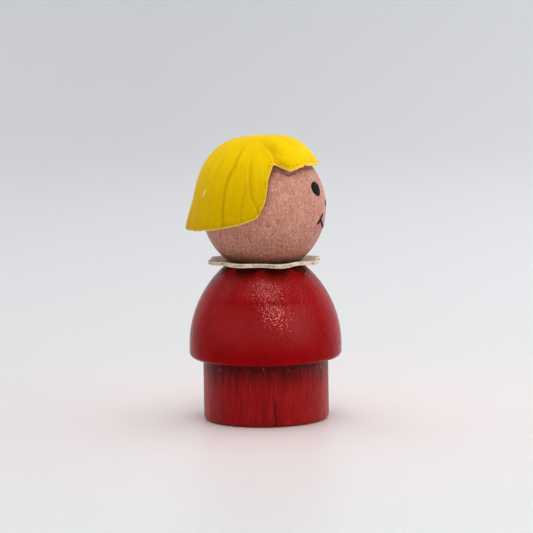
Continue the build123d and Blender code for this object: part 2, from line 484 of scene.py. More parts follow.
BODY_COLUMNS = 400
CRACK_AZIMUTH = 77.3
CRACK_TOP_Z = 6.0
SCRATCH_AZIMUTH = 143.7
SCRATCH_TOP_Z = 16.5
CHIP_AZIMUTH = 54.7
CHIP_LOW_Z = STEP_Z - 2.4
CHIP_HIGH_Z = STEP_Z + 0.8
POLISH_AZIMUTH = 88.0
DULL_BAND_Z = 21.9
DULL_BAND_WIDTH = 0.6
SPECKS = [(77.5, 21.9, 0.3), (75.6, 21.7, 0.24), (79.3, 22.3, 0.16)]  # dark chips: azimuth, height, size


def body_outline():
    """The body's outline from the middle of its underside to the tip of the nail's hole."""
    dome_centre = SKIRT_RADIUS - DOME_ARC_RADIUS
    rise = BODY_TOP_Z - WIDEST_Z
    sweep = math.degrees(math.asin(rise / DOME_ARC_RADIUS))
    top_radius = dome_centre + math.sqrt(DOME_ARC_RADIUS**2 - rise**2)
    dome = arc((dome_centre, WIDEST_Z), DOME_ARC_RADIUS, 0, sweep - 1.6, 0.19)
    plug_flat, skirt_flat = PLUG_RADIUS - PLUG_ROUND, SKIRT_RADIUS - SKIRT_ROUND
    return join(
        line((0.05, 0), (plug_flat, 0), 0.8),
        arc((plug_flat, PLUG_ROUND), PLUG_ROUND, -90, 0, 0.14),
        line((PLUG_RADIUS, PLUG_ROUND), (PLUG_RADIUS, STEP_Z - 0.1), 0.21),
        line((PLUG_RADIUS, STEP_Z), (skirt_flat, STEP_Z), 0.22),
        arc((skirt_flat, STEP_Z + SKIRT_ROUND), SKIRT_ROUND, -90, 0, 0.14),
        line((SKIRT_RADIUS, STEP_Z + SKIRT_ROUND), (SKIRT_RADIUS, WIDEST_Z), 0.2),
        dome,
        legs(
            dome[-1], ((top_radius - TOP_ROUND, BODY_TOP_Z), 0.15), ((NAIL_RADIUS, BODY_TOP_Z), 0.6),
            ((NAIL_RADIUS, NAIL_TIP_Z + NAIL_TIP_LENGTH), 3.0), ((0.05, NAIL_TIP_Z), 0.8),
        ),
    )


def crack_mask(points, azimuth, low, high, width):
    """1 along an upright crack that wanders a little, 0 away from it."""
    wander = 1.6 * noise_along(points[:, 2], 1.7, 5)
    across = np.radians(turn_between(azimuth_of(points), azimuth + wander)) * axis_distance(points)
    fade = smoothstep(points[:, 2], high, high - 2.0) * smoothstep(points[:, 2], low - 0.5, low)
    return bell(across, width) * fade


def dents(seed, count, heights, radius_of, sizes, depths):
    """Random dents as (centre, size, depth) on a turned surface."""
    draw = np.random.default_rng(seed)
    found = []
    for _ in range(count):
        z = draw.uniform(*heights)
        centre = ring_point(draw.uniform(0, 360), radius_of(z), z)
        found.append((centre, draw.uniform(*sizes), draw.uniform(*depths)))
    return found


def dent_depth(points, marks):
    """Depth of the dents at each point."""
    total = np.zeros(len(points))
    for centre, size, depth in marks:
        total = np.maximum(total, depth * np.exp(-(((points - centre) ** 2).sum(1)) / size**2))
    return total


def skirt_radius_at(z):
    """Radius of the skirt and dome at a height."""
    over = max(z - WIDEST_Z, 0)
    return SKIRT_RADIUS - DOME_ARC_RADIUS + math.sqrt(DOME_ARC_RADIUS**2 - over**2)


# Random dents in the skirt, the foot's lower edge and the skirt's lower edge, as arguments of dents()
DENTS = [
    (3, 26, (11.5, 25), skirt_radius_at, (0.25, 0.7), (0.02, 0.07)),
    (4, 14, (0.2, 2.5), lambda z: PLUG_RADIUS, (0.3, 0.8), (0.04, 0.12)),
    (6, 10, (11.2, 12.2), skirt_radius_at, (0.3, 0.7), (0.05, 0.12)),
]


def body_paint(points):
    """Shares of grime and painted shade, of worn flecks and of polish at each point of the body."""
    z, azimuth = points[:, 2], azimuth_of(points)
    under_step = smoothstep(z, STEP_Z - 2.4, STEP_Z - 0.1) * (z < STEP_Z + 0.02)
    blotch = 0.5 + 0.55 * fractal_noise(points, (0.55, 0.55, 0.9), 31) + 0.35 * fractal_noise(points, 4.0, 35)
    under_collar = collar_rim(azimuth) - axis_distance(points) + 0.3 * blotch
    specks = [(ring_point(turn, skirt_radius_at(level), level), size, 0.8) for turn, level, size in SPECKS]
    grime_and_shade = np.maximum.reduce([
        # blotchy grime under the step, deepened by painted shadow from the skirt
        0.85 * smoothstep(blotch + 0.8 * under_step, 0.65, 1.25) * smoothstep(under_step, 0, 0.25),
        # painted shadow that the skirt casts on the top of the foot
        0.55 * smoothstep(z, STEP_Z - 4.5, STEP_Z - 0.6) * (z < STEP_Z),
        # painted shadow under the collar's lobes
        0.9 * smoothstep(under_collar, 1.3, 2.8) * (z > WIDEST_Z),
        0.85 * crack_mask(points, CRACK_AZIMUTH, 0, CRACK_TOP_Z, 0.15),
        0.7 * crack_mask(points, SCRATCH_AZIMUTH, STEP_Z, SCRATCH_TOP_Z, 0.16),
        0.7 * crack_mask(points, CHIP_AZIMUTH, CHIP_LOW_Z, CHIP_HIGH_Z, 0.14),
        dent_depth(points, specks),
    ])
    fleck = cell_noise(points * (1, 1, 0.5), 0.26, 33) + 0.4 * fractal_noise(points, 2.5, 36)
    worn = 0.7 * smoothstep(fleck, 0.5, 0.85) * smoothstep(under_step, 0.02, 0.5)
    polish = smoothstep(np.abs(turn_between(azimuth, POLISH_AZIMUTH)), 52, 22) * smoothstep(z, 12.5, 17.5)
    polish *= 1 - 0.7 * bell(z - DULL_BAND_Z + 0.8 * fractal_noise(points, 1.5, 37), DULL_BAND_WIDTH)
    return {"grime_and_shade": grime_and_shade, "worn": worn, "polish": polish}


def build_body():
    """The turned body, with dents, grain and a split in its foot."""
    marks = [mark for row in DENTS for mark in dents(*row)]

    def relief(points):
        """How far the worn surface stands off the plain one."""
        foot = smoothstep(points[:, 2], STEP_Z + 0.3, STEP_Z - 0.3)
        broad = 0.025 * fractal_noise(points, (5, 5, 11), 1)
        grain = fractal_noise(points, (0.8, 0.8, 10), 12, 2)
        grooves = (0.008 + 0.03 * foot) * np.minimum(grain, 0.25)
        crack = 0.26 * crack_mask(points, CRACK_AZIMUTH, 0, CRACK_TOP_Z, 0.13)
        push = broad + grooves - crack - dent_depth(points, marks) - 0.03
        return np.where(axis_distance(points) < NAIL_RADIUS + 0.4, 0, push)

    grid = lathe(body_outline(), BODY_COLUMNS, relief)
    points, faces = closed_grid(grid, (0, 0, 0), (0, 0, NAIL_TIP_Z))
    paint = body_paint(grid.reshape(-1, 3))
    make_piece(
        "turned_body", points, faces, "base", red_lacquer(), paint, ["wooden_body"]
    )


# ------ the turned head

HEAD_COLUMNS = 420
HEAD_PITS = 110
PLACED_PITS = [(81.2, -11.6, 0.2), (88.6, -9.6, 0.13)]  # azimuth, elevation, size
CHEEK_SCRATCH = [(26.8, -14.7), (24.7, -21.4)]
HAIR_SHADOW = 0.26  # half width of the painted shadow that the hair's edge casts on the head


def head_radius(elevation):
    """Distance from the ball's centre to its surface in a direction this many degrees above level."""
    e = np.radians(elevation)
    return 1 / np.sqrt((np.cos(e) / HEAD_RADIUS) ** 2 + (np.sin(e) / HEAD_HALF_HEIGHT) ** 2)


def head_point(azimuth, elevation, lift=0.0):
    """A point on the ball, lifted off it by some millimetres."""
    e = np.radians(elevation)
    reach = head_radius(elevation) + lift
    return ring_point(azimuth, reach * np.cos(e), HEAD_CENTRE_Z + reach * np.sin(e))


def head_outline():
    """Closed outline of the head: nail hole, flat, ball and bore."""
    start = -math.asin((HEAD_CENTRE_Z - HEAD_FLAT_Z) / HEAD_HALF_HEIGHT)
    end = math.acos(STEM_RADIUS / HEAD_RADIUS)
    angles = np.linspace(start + 0.03, end, 172)
    ball = [(HEAD_RADIUS * math.cos(a), HEAD_CENTRE_Z + HEAD_HALF_HEIGHT * math.sin(a)) for a in angles]
    flat_edge = HEAD_RADIUS * math.cos(start) - HEAD_FLAT_ROUND
    bore, low = NAIL_CLEARANCE_RADIUS, HEAD_FLAT_Z
    return join(
        legs((bore, low), ((flat_edge, low), 0.8), (ball[0], 0.12)),
        ball,
        legs(
            ball[-1], ((STEM_RADIUS, NAIL_SEAT_Z), 2.5), ((bore, NAIL_SEAT_Z), 0.7), ((bore, low + 0.1), 2.0)
        ),
    )


def build_head():
    """The turned ball, with pits, a scratch and a painted shadow along the hair's edge."""
    draw = np.random.default_rng(8)
    pits = [
        (head_point(draw.uniform(0, 360), draw.uniform(-48, 30)), draw.uniform(0.08, 0.2), 1.0)
        for _ in range(HEAD_PITS)
    ]
    pits += [(head_point(azimuth, elevation), size, 1.0) for azimuth, elevation, size in PLACED_PITS]
    steps = zip(np.linspace(*CHEEK_SCRATCH, 12), np.linspace(0.4, 0.9, 12))
    scratch = [(head_point(*place), 0.2, depth) for place, depth in steps]

    def relief(points):
        """How far the worn surface stands off the plain one."""
        inside = (axis_distance(points) < STEM_RADIUS + 0.05) | (points[:, 2] < HEAD_FLAT_Z + 0.02)
        broad = 0.02 * fractal_noise(points - (0, 0, HEAD_CENTRE_Z), (4, 4, 7), 41)
        grain = 0.014 * np.minimum(fractal_noise(points, (0.7, 0.7, 5), 52, 2), 0.3)
        push = broad + grain - 0.06 * dent_depth(points, pits) - 0.015
        return np.where(inside, 0, push)

    grid = lathe(head_outline(), HEAD_COLUMNS, relief)
    points = grid.reshape(-1, 3)
    on_shell = unit(points - (0, 0, HEAD_CENTRE_Z)) * HEAD_RADIUS
    hair_edge_shade = bell(nearest_distance(on_shell, edge_directions() * HEAD_RADIUS), HAIR_SHADOW)
    paint = {"pit": dent_depth(points, pits), "scratch": dent_depth(points, scratch), "hair_edge_shade": hair_edge_shade}
    faces = grid_faces(*grid.shape[:2], True)
    make_piece(
        "turned_head", points, faces, "head", flesh_paint(), paint, ["wooden_head"]
    )


# ------ the printed face

INK_LIFT = 0.03
INK_SINK = 0.04

INK_ANGLES = np.linspace(0, 2 * np.pi, 64, endpoint=False)

# Strokes of the mouth: name, width, middle line as (azimuth, elevation)
MOUTH = [
    ("smile", 0.62, [
        (19.4, -9.4), (13, -14.4), (6.5, -17.6), (0, -18.7), (-6.5, -17.5), (-13, -14.3), (-19.2, -9.2)
    ]),
    ("smile_end_right", 0.72, [(13.4, -4.6), (18.6, -8.7), (23.6, -14.3)]),
    ("smile_end_left", 0.7, [(-13.2, -4.4), (-18.4, -8.5), (-23.2, -14.1)]),
]


def ink_dot(name, azimuth, elevation, width, height, reach, material):
    """A lens-thin dot of ink on the ball. reach scales its outline at each of INK_ANGLES."""
    rings = [(0.3, 1.0), (0.6, 1.0), (0.85, 0.95), (0.96, 0.7), (1.0, 0.3)]
    levels = [(share, lift * INK_LIFT) for share, lift in rings] + [(0.98, -INK_SINK), (0.5, -INK_SINK)]
    rows = []
    for share, lift in levels:
        across = share * reach * width / 2 * np.cos(INK_ANGLES)
        up = share * reach * height / 2 * np.sin(INK_ANGLES)
        e = elevation + np.degrees(up / HEAD_HALF_HEIGHT)
        a = azimuth + np.degrees(across / (HEAD_RADIUS * np.cos(np.radians(e))))
        rows.append(head_point(a, e, lift))
    poles = [head_point(azimuth, elevation, lift) for lift in (INK_LIFT, -INK_SINK)]
    points, faces = closed_grid(np.array(rows), *poles)
    make_piece(name, points, faces, "head", material)


def smooth_path(knots, count):
    """Points along a Catmull-Rom curve through knots."""
    knots = np.array(knots, float)
    padded = np.concatenate([[2 * knots[0] - knots[1]], knots, [2 * knots[-1] - knots[-2]]])
    found = []
    for t in np.linspace(0, len(knots) - 1 - 1e-9, count):
        i, u = int(t), t % 1
        p0, p1, p2, p3 = padded[i : i + 4]
        square, cube = 2 * p0 - 5 * p1 + 4 * p2 - p3, 3 * p1 - p0 - 3 * p2 + p3
        found.append(0.5 * (2 * p1 + (p2 - p0) * u + square * u**2 + cube * u**3))
    return np.array(found)


def distance_along(path):
    """Distance travelled along a path at each of its points."""
    return np.append(0, np.cumsum(np.linalg.norm(np.diff(path, axis=0), axis=1)))


def ink_stroke(name, width, knots, material, seed):
    """A lens-thin stroke of ink on the ball through knots of (azimuth, elevation)."""
    azimuth, elevation = np.radians(smooth_path(knots, 90)).T
    place = np.stack([azimuth * np.cos(elevation), elevation], axis=1) * HEAD_RADIUS
    along = unit(np.gradient(place, axis=0))
    side = np.stack([-along[:, 1], along[:, 0]], axis=1)
    travelled = distance_along(place)
    left = np.minimum(travelled, travelled[-1] - travelled)
    cap = np.sqrt(np.clip(1 - (1 - np.clip(left / (width / 2), 0, 1)) ** 2, 0.02, 1))
    half = width / 2 * cap * (1 + 0.16 * noise_along(travelled, 0.5, seed))
    section = [(-1, 0.3), (-0.9, 0.8), (-0.5, 1), (0, 1), (0.5, 1), (0.9, 0.8), (1, 0.3)]
    section = [(share, lift * INK_LIFT) for share, lift in section] + [(0.7, -INK_SINK), (-0.7, -INK_SINK)]
    columns = []
    for share, lift in section:
        spot = place + side * (share * half)[:, None]
        e = np.degrees(spot[:, 1] / HEAD_RADIUS)
        a = np.degrees(spot[:, 0] / HEAD_RADIUS / np.cos(np.radians(e)))
        columns.append(head_point(a, e, lift))
    grid = np.stack(columns, axis=1)
    points, faces = closed_grid(grid, grid[0].mean(0), grid[-1].mean(0))
    make_piece(name, points, faces, "head", material)


def eye_reach(lean):
    """Outline of a hand-cut round, drawn out towards an angle."""
    ripple = 0.02 * np.sin(3 * INK_ANGLES + 1) + 0.015 * np.sin(7 * INK_ANGLES)
    return 1 + 0.05 * np.sin(2 * INK_ANGLES + lean) - 0.04 * np.sin(INK_ANGLES) + ripple


def build_face():
    """Two eyes, a nose and a smile of ink."""
    ink = black_ink()
    ink_dot("eye_right", 23.1, 19.3, 2.8, 2.85, eye_reach(0.6), ink)
    ink_dot("eye_left", -23.3, 19.0, 2.75, 2.8, eye_reach(-0.4), ink)
    ink_dot("nose", 0, 4.2, 2.3, 1.25, 1 - 0.12 * np.sin(INK_ANGLES) ** 3, ink)
    for seed, stroke in enumerate(MOUTH, 1):
        ink_stroke(*stroke, ink, seed)


# ------ the collar

COLLAR_COLUMNS = 400
COLLAR_WAVE = 0.09
COLLAR_BEAD = 0.2

# How far the loose rim stands up at each notch, and how far each lobe bends up between two notches
NOTCH_LIFTS = [0.14, 0.34, 0.34, 0.32, 0.10, -0.10, -0.12, -0.10]
LOBE_LIFTS = [-0.14, -0.22, -0.10, -0.08, 0.02, -0.12, 0.06, 0.0]


def collar_rim(azimuth):
    """Radius of the scalloped rim at each azimuth: a ring of equal arcs."""
    half = math.pi / COLLAR_LOBES
    chord = COLLAR_NOTCH_RADIUS * math.cos(half)
    offset = (COLLAR_TIP_RADIUS**2 - COLLAR_NOTCH_RADIUS**2) / (2 * (COLLAR_TIP_RADIUS - chord))
    lobe_radius = COLLAR_TIP_RADIUS - offset
    turn = (np.radians(270 - azimuth - COLLAR_TURN) + half) % (2 * half) - half
    return offset * np.cos(turn) + np.sqrt(lobe_radius**2 - (offset * np.sin(turn)) ** 2)


def build_collar():
    """The thin collar: two flat sides and a rounded rim, thickened, raised and waved towards its edge."""
    azimuths = all_round(COLLAR_COLUMNS)
    rim = collar_rim(azimuths)
    rim = np.convolve(np.concatenate([rim[-3:], rim, rim[:3]]), [0.1, 0.25, 0.3, 0.25, 0.1], "same")[3:-3]
    low, high, r = COLLAR_LOW_Z, COLLAR_HIGH_Z, COLLAR_EDGE_ROUND
    widths = [COLLAR_HOLE_RADIUS + (rim - r - COLLAR_HOLE_RADIUS) * t for t in np.linspace(0, 1, 34)]
    rows = [(width, high) for width in widths]
    for middle, angles in ((high - r, (67, 45, 22, 0)), (low + r, (0, -22, -45, -67))):
        for a in np.radians(angles):
            rows.append((rim - r + r * math.cos(a), middle + r * math.sin(a)))
    rows += [(width, low) for width in reversed(widths)]
    grid = np.array([ring_point(azimuths, radius, z) for radius, z in rows])
    points = grid.reshape(-1, 3)
    reach = axis_distance(points)
    points[:, 2] += COLLAR_BEAD * smoothstep(reach, 7.4, 9.4) * (points[:, 2] - low) / (high - low)
    wave = fractal_noise(points * (1, 1, 0) / reach[:, None] * 3.0 + 20, 1.6, 61, 2)
    lobe = azimuth_of(points) * COLLAR_LOBES / 360
    lift = np.array(LOBE_LIFTS)[np.floor(lobe).astype(int) % COLLAR_LOBES]
    raised = np.interp(lobe, range(COLLAR_LOBES), NOTCH_LIFTS, period=COLLAR_LOBES)
    raised += COLLAR_WAVE * wave + lift * np.sin(np.pi * (lobe % 1)) ** 2
    points[:, 2] += smoothstep(reach, 6.9, 10.0) * raised
    cut, ply = np.zeros((2, *grid.shape[:2]))
    cut[len(widths) : -len(widths)] = 1.0
    ply[len(widths) + 3 : -len(widths) - 3] = 1.0
    # dirt and painted shade on the collar's top under the head
    paint = {"dirt_and_shade_under_head": smoothstep(reach, 7.4, 6.0), "cut": cut.ravel(), "ply": ply.ravel()}
    faces = grid_faces(*grid.shape[:2], True)
    make_piece(
        "collar", points, faces, "collar", cream_vinyl(), paint, ["scalloped_collar"]
    )


# ------ the hair

HAIR_COLUMNS = 440
HAIR_ROWS = 104
HAIR_INNER_ROWS = 26
HAIR_WALL = 0.9
HAIR_RIM_WALL = 0.40
HAIR_RIM_BULGE = 0.12
HAIR_HEAD_GAP = 0.04
CROWN = 12.5

# Reach of the plain cap from the ball's centre, by elevation in degrees: behind, to the side, in front
REAR_REACH = [
    (-20, 14.85), (-15.6, 14.38), (-3.1, 13.15), (6.5, 12.47), (14.6, 12.5), (21.2, 12.58), (27.5, 12.77),
    (34.1, 12.98), (41.2, 13.12), (49.3, 13.27), (56.2, 13.36), (62.2, 13.32), (71.7, 13.02), (90, CROWN),
]
SIDE_REACH = [
    (-20, 12.75), (-6.5, 12.33), (6.5, 12.28), (21.3, 12.62), (34.4, 13.0), (42.1, 13.18), (50, 13.28),
    (57.1, 13.33), (63, 13.32), (71.7, 13.02), (90, CROWN),
]
FRONT_REACH = [
    (-20, 11.8), (22, 12.1), (32, 12.3), (37.5, 12.45), (42.5, 12.62), (46.2, 12.76), (50, 12.92),
    (56.4, 13.18), (62, 13.34), (69.3, 13.3), (76, 13.06), (90, CROWN),
]

# Edge of the hair from the side, as (distance back from the axis, height above the ball's centre)
FRINGE_EDGE = [(-9.9, 7.6), (-8.35, 7.9), (-5.85, 7.2)]
NOTCH = (-2.65, 8.5)
SIDE_EDGE = [NOTCH, (-1.95, 6.2), (-1.4, 2.4), (0.0, -0.65)]
HEM_EDGE = [SIDE_EDGE[-1], (3.2, -1.85), (8.4, -3.0), (14.1, -3.7)]
FRINGE_NICK = (35.5, 1.6, 0.38)  # azimuth, half width in degrees, depth
FRINGE_TAG = (59.5, 1.4, 0.16)

# Line where the side hair overlaps the fringe, from the notch to the crown, as (azimuth, elevation)
PARTING = [
    (71.5, 38), (72.8, 42.4), (75.3, 50.5), (79.3, 55.5), (85.8, 60.8), (97.4, 65.5), (113.4, 68.5), (126, 71)
]
PARTING_DEPTH = 1.15
PALE_NICK = [(143.1, 16.8), (145.3, 13.4)]

# Reaches that turn angles into millimetres: at the edge, over the locks and along the parting
EDGE_REACH = 12.6
LOCK_REACH = 12.8
PARTING_REACH = 13.1

# Grooves between locks: (depth, half width, [(azimuth, elevation), ...]) from the crown down.
# The side towards the back slopes gently, or the side towards the face where the half width is negative.
GROOVES = [
    (0.17, 0.28, [
        (110, 62), (112.4, 49.8), (113.4, 37.2), (116.8, 27.8), (118.5, 17.8), (119.4, 6.9), (118.7, -18)
    ]),
    (0.13, -0.26, [
        (98.6, 54), (98.3, 44.7), (97.2, 34.8), (97.3, 27.4), (96.7, 20.2), (95, 13), (92, 6.6), (89, -2)
    ]),
    (0.10, -0.22, [(100.0, 30), (101.6, 16.5), (103.1, 9.2), (104.4, 1.9), (106.0, -18)]),
    (0.03, 0.40, [(130, 60), (131, 30), (133, 0), (134, -18)]),
    (0.05, 0.40, [(141, 62), (144, 30), (147, 5), (147, -18)]),
    (0.07, 0.45, [(158, 64), (157, 35), (160, 8), (161, -18)]),
    (0.12, 0.45, [(172, 66), (174, 35), (173, 8), (175, -18)]),
    (0.16, 0.42, [(190, 64), (187, 35), (188, 8), (187, -18)]),
    (0.10, 0.45, [(205, 62), (203, 30), (200, 5), (201, -18)]),
    (0.14, 0.40, [(217, 60), (216, 30), (214, 0), (215, -18)]),
    (0.08, 0.40, [(229, 60), (228, 30), (227, 0), (228, -18)]),
    (0.18, 0.36, [(247, 60), (244, 40), (241, 20), (240, 0), (241, -18)]),
    (0.12, 0.28, [(258, 30), (256, 16), (254, 2), (253, -18)]),
    (0.16, 0.34, [(261, 52), (262, 36), (263, 20), (266, 8), (270, -2)]),
]


def smoothed(knots):
    """A table of reach every half degree of elevation, with its corners rounded off."""
    knots = np.array(knots)
    angles = np.arange(-60, 150.5, 0.5)
    mirrored = np.where(angles > 90, 180 - angles, angles)
    values = np.interp(mirrored, knots[:, 0], knots[:, 1])
    spread = np.exp(-((np.arange(-24, 25) * 0.5 / 4.0) ** 2) / 2)
    return angles, np.convolve(values, spread / spread.sum(), "same")


REACH = [smoothed(knots) for knots in (REAR_REACH, SIDE_REACH, FRONT_REACH)]


def cap_reach(azimuth, elevation):
    """Reach of the plain cap in a direction."""
    rear, side, front = (np.interp(elevation, *table) for table in REACH)
    fore, across = np.cos(np.radians(azimuth)), np.sin(np.radians(azimuth))
    return 1 / np.sqrt((fore / np.where(fore > 0, front, rear)) ** 2 + (across / side) ** 2)


def direction_of(azimuth, elevation):
    """Unit vectors at azimuths and elevations in degrees."""
    e = np.radians(elevation)
    return ring_point(azimuth, np.cos(e), np.sin(e))


def angles_of(directions):
    """Azimuth and elevation of unit vectors."""
    return azimuth_of(directions), np.degrees(np.arcsin(np.clip(directions[..., 2], -1, 1)))


def edge_directions():
    """Unit vectors along the whole edge, from the middle of the fringe round by the figure's right."""
    side_view = np.concatenate([
        smooth_path(FRINGE_EDGE, 160),
        np.linspace(FRINGE_EDGE[-1], NOTCH, 60)[1:],
        smooth_path(SIDE_EDGE, 120)[1:],
        smooth_path(HEM_EDGE, 220)[1:],
    ])
    back, height = side_view.T
    azimuth, elevation = np.full(len(back), 90.0), np.zeros(len(back))
    for _ in range(12):
        reach = cap_reach(azimuth, elevation)
        elevation = np.degrees(np.arcsin(np.clip(height / reach, -1, 1)))
        level = reach * np.cos(np.radians(elevation))
        azimuth = np.degrees(np.arccos(np.clip(-back / level, -1, 1)))
    keep = np.append(np.diff(azimuth) > -5, True) & (np.abs(back) <= level * 1.0001)
    azimuth = np.concatenate([[0], azimuth[keep], [180]])
    elevation = np.pad(elevation[keep], 1, "edge")
    azimuth = np.concatenate([azimuth, 360 - azimuth[-2:0:-1]])
    elevation = np.concatenate([elevation, elevation[-2:0:-1]])
    place = direction_of(azimuth, elevation) * cap_reach(azimuth, elevation)[:, None]
    loop = np.concatenate([place, place[:1]])
    travelled = distance_along(loop)
    wanted = np.linspace(0, travelled[-1], HAIR_COLUMNS, endpoint=False)
    even = np.stack([np.interp(wanted, travelled, loop[:, i]) for i in range(3)], axis=1)
    azimuth, elevation = angles_of(unit(even))
    cut = 0.09 * cell_noise(even, 1.0, 71) + 0.07 * cell_noise(even, 0.45, 72)
    for sign, (middle, width, depth) in ((1, FRINGE_NICK), (-1, FRINGE_TAG)):
        cut += sign * depth * bell(turn_between(azimuth, middle), width) * (elevation > 20)
    return direction_of(azimuth, elevation + np.degrees(cut / EDGE_REACH))


def parting_distance(directions):
    """Signed distance to the parting, above 0 on the fringe's side, and the share of the way to the crown."""
    path = smooth_path(PARTING, 40)
    knots = direction_of(path[:, 0], path[:, 1]) * PARTING_REACH
    on_shell = np.append(-np.abs(directions[:, :1]), directions[:, 1:], axis=1) * PARTING_REACH
    best, signed, share = np.full(len(directions), 1e9), 0, 0
    for i, (start, end) in enumerate(zip(knots[:-1], knots[1:])):
        along = end - start
        t = np.clip(((on_shell - start) @ along) / (along @ along), 0, 1)
        offset = on_shell - start - t[:, None] * along
        distance = np.linalg.norm(offset, axis=1)
        side = np.where(offset @ np.cross(along, (start + end) / 2) > 0, 1, -1)
        nearer = distance < best
        best = np.where(nearer, distance, best)
        signed = np.where(nearer, side * distance, signed)
        share = np.where(nearer, (i + t) / (len(knots) - 1), share)
    return signed, share


def hair_relief(directions, edge_distance):
    """How far the surface stands off the plain cap, and the share of dirt and painted shade at each point in
    the grooves and along the parting.
    """
    azimuth, elevation = angles_of(directions)
    signed, share = parting_distance(directions)
    strength = smoothstep(share, 1.0, 0.35)
    fringe_side = np.maximum(signed, 0)
    push = -PARTING_DEPTH * strength * smoothstep(signed, -0.05, 0.35) * bell(fringe_side, 1.6)
    push += 0.12 * strength * bell(signed + 0.4, 0.7)
    # painted shadow on the fringe's side of the parting
    crease_dirt_and_shade = strength * smoothstep(signed, -0.12, 0.1) * np.exp(-fringe_side / 0.8)
    side_hair = signed < 0
    for depth, half_width, knots in GROOVES:
        turns, levels = np.array(knots, float)[::-1].T
        across = np.radians(turn_between(azimuth, np.interp(elevation, levels, turns)))
        across *= LOCK_REACH * np.cos(np.radians(elevation)) * math.copysign(1, half_width)
        fade = smoothstep(elevation, levels[-1], levels[-1] - 22) * side_hair
        dip = bell(across, abs(half_width) * np.where(across > 0, 2.3, 0.8))
        shelf = 0.5 * bell(across + 1.9 * abs(half_width), 1.2 * half_width)
        push += depth * fade * (shelf - dip)
        # dirt and painted shade, deepest in each groove
        crease_dirt_and_shade = np.maximum(crease_dirt_and_shade, fade * dip**2 * depth / 0.2)
    locks = cell_noise(np.stack([azimuth / 7, elevation / 40, azimuth * 0], axis=1), 1.0, 81)
    push += 0.05 * locks * smoothstep(elevation, 75, 45) * side_hair
    from_face = np.abs(turn_between(azimuth, 0))
    curl = (0.12 + 0.4 * smoothstep(from_face, 30, 62)) * smoothstep(edge_distance, 1.7, 0.0) ** 1.5
    push -= curl * (~side_hair & (from_face < 80))
    return push, crease_dirt_and_shade


def nearest_distance(points, targets):
    """Distance from each point to the nearest target, in blocks that fit in memory."""
    found = [
        np.sqrt(((points[start : start + 4000, None] - targets) ** 2).sum(2).min(1))
        for start in range(0, len(points), 4000)
    ]
    return np.concatenate(found)


def level_near_edge(directions, edge_distance):
    """Directions to push the surface in: outwards, but level near the edge, whose height is kept."""
    outward = directions.copy()
    outward[:, 2] *= smoothstep(edge_distance, 0.8, 3.5)
    return outward


def cap_rows(edge, shares):
    """Rows of the plain cap at shares of the way to the edge: directions, points, distances to the edge."""
    angle = np.arccos(edge[:, 2:])
    rows = [np.sin((1 - t) * angle) * (0, 0, 1) + np.sin(t * angle) * edge for t in shares]
    directions = np.concatenate([row / np.sin(angle) for row in rows])
    points = directions * cap_reach(*angles_of(directions))[:, None]
    edge_points = edge * cap_reach(*angles_of(edge))[:, None]
    return directions, points, nearest_distance(points, edge_points)


def hair_outside(edge):
    """Outer rows of the hair, with the values painted on them and on the rim."""
    directions, plain, edge_distance = cap_rows(edge, np.linspace(0, 1, HAIR_ROWS + 1)[1:] ** 0.92)
    push, crease_dirt_and_shade = hair_relief(directions, edge_distance)
    outer = plain + level_near_edge(directions, edge_distance) * push[:, None]
    nicked = np.zeros(len(directions))
    for place in np.linspace(*PALE_NICK, 9):
        away = np.linalg.norm(directions - direction_of(*place), axis=1) * LOCK_REACH
        nicked = np.maximum(nicked, bell(away, 0.2))
    # paler trimmed edge, partly painted highlight
    rim = 0.8 * np.append(bell(edge_distance, 0.10), np.ones(5 * HAIR_COLUMNS))
    shade = smoothstep(edge_distance, 0.1, 0.35) * smoothstep(edge_distance, 1.1, 0.4)
    paint = {"crease_dirt_and_shade": crease_dirt_and_shade, "rim": rim, "shade": shade, "nicked": nicked}
    return outer.reshape(HAIR_ROWS, HAIR_COLUMNS, 3), paint


def hair_inside(edge):
    """Inner rows of the hair, which follow the outside near the edge and keep clear of the head."""
    directions, plain, edge_distance = cap_rows(edge, np.linspace(1, 0.2, HAIR_INNER_ROWS))
    push, _ = hair_relief(directions, edge_distance)
    push *= smoothstep(edge_distance, 1.5, 0.0)
    wall = HAIR_RIM_WALL + (HAIR_WALL - HAIR_RIM_WALL) * smoothstep(edge_distance, 0, 3)
    inner = plain - directions * wall[:, None]
    inner += level_near_edge(directions, edge_distance) * push[:, None]
    reach = np.linalg.norm(inner, axis=1)
    clear = head_radius(angles_of(directions)[1]) + HAIR_HEAD_GAP
    inner *= (np.maximum(reach, clear) / reach)[:, None]
    return inner.reshape(HAIR_INNER_ROWS, HAIR_COLUMNS, 3)


def hair_rim(outside, inside):
    """Rows that round off the cut edge, between the last outer and the first inner row."""
    outward = unit(outside[-1] - outside[-2]) * HAIR_RIM_BULGE
    shares = (0.18, 0.5, 0.82)
    return [outside[-1] * (1 - t) + inside[0] * t + outward * math.sin(math.pi * t) for t in shares]


def hair_stem(azimuths):
    """Rows of the stem, from under the crown down to its chamfered end."""
    top = HAIR_TOP_Z - HEAD_CENTRE_Z - HAIR_WALL
    bottom = top - STEM_LENGTH + HAIR_WALL / 2
    rows = [(STEM_RADIUS, z) for z in np.linspace(top - 0.5, bottom + STEM_CHAMFER, 6)]
    rows.append((STEM_RADIUS - STEM_CHAMFER, bottom))
    return [ring_point(azimuths, radius, z) for radius, z in rows]


